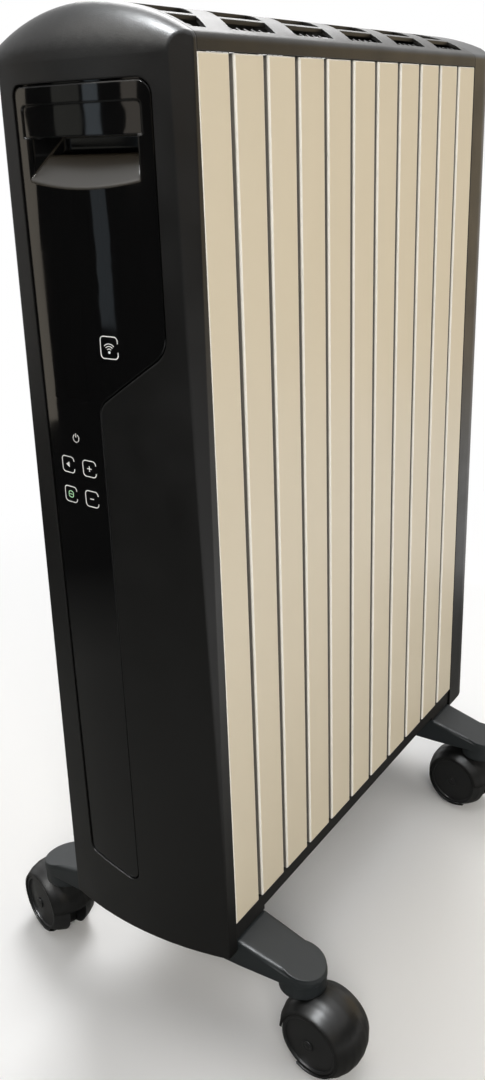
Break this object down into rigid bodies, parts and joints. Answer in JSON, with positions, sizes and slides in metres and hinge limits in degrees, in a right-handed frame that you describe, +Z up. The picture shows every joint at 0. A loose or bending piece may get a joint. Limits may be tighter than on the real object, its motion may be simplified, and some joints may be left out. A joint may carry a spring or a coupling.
{
  "type": "panel heater",
  "caption": "Upright room heater with flat vertical strips on both sides, a domed control end with a stepped fascia, a vented top and a foot with swivel casters at each end.",
  "frame": {"origin": "on the floor, under the middle of the bounding box", "axes": "+X across the heater towards its pictured side, +Y from the control end to the cord end, +Z up"},
  "size_m": [0.308, 0.4636, 0.665],
  "materials": {
    "cream_enamel": "smooth baked enamel, warm cream",
    "black_plastic": "fine moulded grain, satin black",
    "gloss_fascia": "polished black",
    "grille_plastic": "fine moulded grain, heat resistant",
    "charcoal_plastic": "fine moulded grain, charcoal",
    "caster_plastic": "satin moulded",
    "wheel_plastic": "satin moulded, hard tread",
    "rocker_plastic": "polished",
    "black_enamel": "powder coat",
    "zinc_plate": "bright zinc plated sheet",
    "steel": "turned, zinc plated",
    "core_aluminium": "extruded, mill finish",
    "element_sheath": "rolled sheath",
    "cutout_shell": "pressed can",
    "circuit_board": "solder mask"
  },
  "bodies": {
    "body": {"base_tray": "black_enamel", "control_board": "circuit_board", "control_fascia": "gloss_fascia", "cord_cleat": "black_plastic", "cord_gland": "black_plastic", "front_cover": "black_plastic", "front_foot": "charcoal_plastic", "front_frame": "zinc_plate", "handle_pocket": "black_plastic", "heating_elements": "element_sheath", "left_strip_01": "cream_enamel", "left_strip_02": "cream_enamel", "left_strip_03": "cream_enamel", "left_strip_04": "cream_enamel", "left_strip_05": "cream_enamel", "left_strip_06": "cream_enamel", "left_strip_07": "cream_enamel", "left_strip_08": "cream_enamel", "left_strip_09": "cream_enamel", "left_strip_10": "cream_enamel", "left_strip_11": "cream_enamel", "module_cores": "core_aluminium", "power_board": "circuit_board", "rear_cover": "black_plastic", "rear_foot": "charcoal_plastic", "rear_frame": "zinc_plate", "right_strip_01": "cream_enamel", "right_strip_02": "cream_enamel", "right_strip_03": "cream_enamel", "right_strip_04": "cream_enamel", "right_strip_05": "cream_enamel", "right_strip_06": "cream_enamel", "right_strip_07": "cream_enamel", "right_strip_08": "cream_enamel", "right_strip_09": "cream_enamel", "right_strip_10": "cream_enamel", "right_strip_11": "cream_enamel", "switch_body": "black_plastic", "thermal_cutouts": "cutout_shell", "tie_rods": "steel", "top_grille": "grille_plastic"},
    "rocker": {"switch_rocker": "rocker_plastic"},
    "front_right_swivel": {"front_right_hood": "caster_plastic", "front_right_pins": "steel"},
    "front_right_outer_wheel": {"front_right_wheel_outer": "wheel_plastic"},
    "front_right_inner_wheel": {"front_right_wheel_inner": "wheel_plastic"},
    "front_left_swivel": {"front_left_hood": "caster_plastic", "front_left_pins": "steel"},
    "front_left_outer_wheel": {"front_left_wheel_outer": "wheel_plastic"},
    "front_left_inner_wheel": {"front_left_wheel_inner": "wheel_plastic"},
    "rear_right_swivel": {"rear_right_hood": "caster_plastic", "rear_right_pins": "steel"},
    "rear_right_outer_wheel": {"rear_right_wheel_outer": "wheel_plastic"},
    "rear_right_inner_wheel": {"rear_right_wheel_inner": "wheel_plastic"},
    "rear_left_swivel": {"rear_left_hood": "caster_plastic", "rear_left_pins": "steel"},
    "rear_left_outer_wheel": {"rear_left_wheel_outer": "wheel_plastic"},
    "rear_left_inner_wheel": {"rear_left_wheel_inner": "wheel_plastic"}
  },
  "joints": [
    {"name": "rocker_hinge", "type": "hinge", "parent": "body", "child": "rocker", "pos_m": [0, 0.19285, 0.38], "axis": [1, 0, 0], "range_deg": [0, 16]},
    {"name": "front_right_swivel", "type": "hinge", "parent": "body", "child": "front_right_swivel", "pos_m": [0.1065, -0.19415, 0.0575], "axis": [0, 0, 1], "continuous": true},
    {"name": "front_right_outer_spin", "type": "hinge", "parent": "front_right_swivel", "child": "front_right_outer_wheel", "pos_m": [0.1256, -0.1838, 0.0276], "axis": [0.1219, 0.9925, 0], "continuous": true},
    {"name": "front_right_inner_spin", "type": "hinge", "parent": "front_right_swivel", "child": "front_right_inner_wheel", "pos_m": [0.12253, -0.20881, 0.0276], "axis": [0.1219, 0.9925, 0], "continuous": true},
    {"name": "front_left_swivel", "type": "hinge", "parent": "body", "child": "front_left_swivel", "pos_m": [-0.1065, -0.19415, 0.0575], "axis": [0, 0, 1], "continuous": true},
    {"name": "front_left_outer_spin", "type": "hinge", "parent": "front_left_swivel", "child": "front_left_outer_wheel", "pos_m": [-0.12723, -0.20066, 0.0276], "axis": [-0.309, -0.9511, 0], "continuous": true},
    {"name": "front_left_inner_spin", "type": "hinge", "parent": "front_left_swivel", "child": "front_left_inner_wheel", "pos_m": [-0.11944, -0.1767, 0.0276], "axis": [-0.309, -0.9511, 0], "continuous": true},
    {"name": "rear_right_swivel", "type": "hinge", "parent": "body", "child": "rear_right_swivel", "pos_m": [0.1065, 0.12865, 0.0575], "axis": [0, 0, 1], "continuous": true},
    {"name": "rear_right_outer_spin", "type": "hinge", "parent": "rear_right_swivel", "child": "rear_right_outer_wheel", "pos_m": [0.08722, 0.11864, 0.0276], "axis": [-0.1392, -0.9903, 0], "continuous": true},
    {"name": "rear_right_inner_spin", "type": "hinge", "parent": "rear_right_swivel", "child": "rear_right_inner_wheel", "pos_m": [0.09073, 0.14359, 0.0276], "axis": [-0.1392, -0.9903, 0], "continuous": true},
    {"name": "rear_left_swivel", "type": "hinge", "parent": "body", "child": "rear_left_swivel", "pos_m": [-0.1065, 0.12865, 0.0575], "axis": [0, 0, 1], "continuous": true},
    {"name": "rear_left_outer_spin", "type": "hinge", "parent": "rear_left_swivel", "child": "rear_left_outer_wheel", "pos_m": [-0.09181, 0.14466, 0.0276], "axis": [-0.2079, 0.9781, 0], "continuous": true},
    {"name": "rear_left_inner_spin", "type": "hinge", "parent": "rear_left_swivel", "child": "rear_left_inner_wheel", "pos_m": [-0.08657, 0.12001, 0.0276], "axis": [-0.2079, 0.9781, 0], "continuous": true}
  ]
}
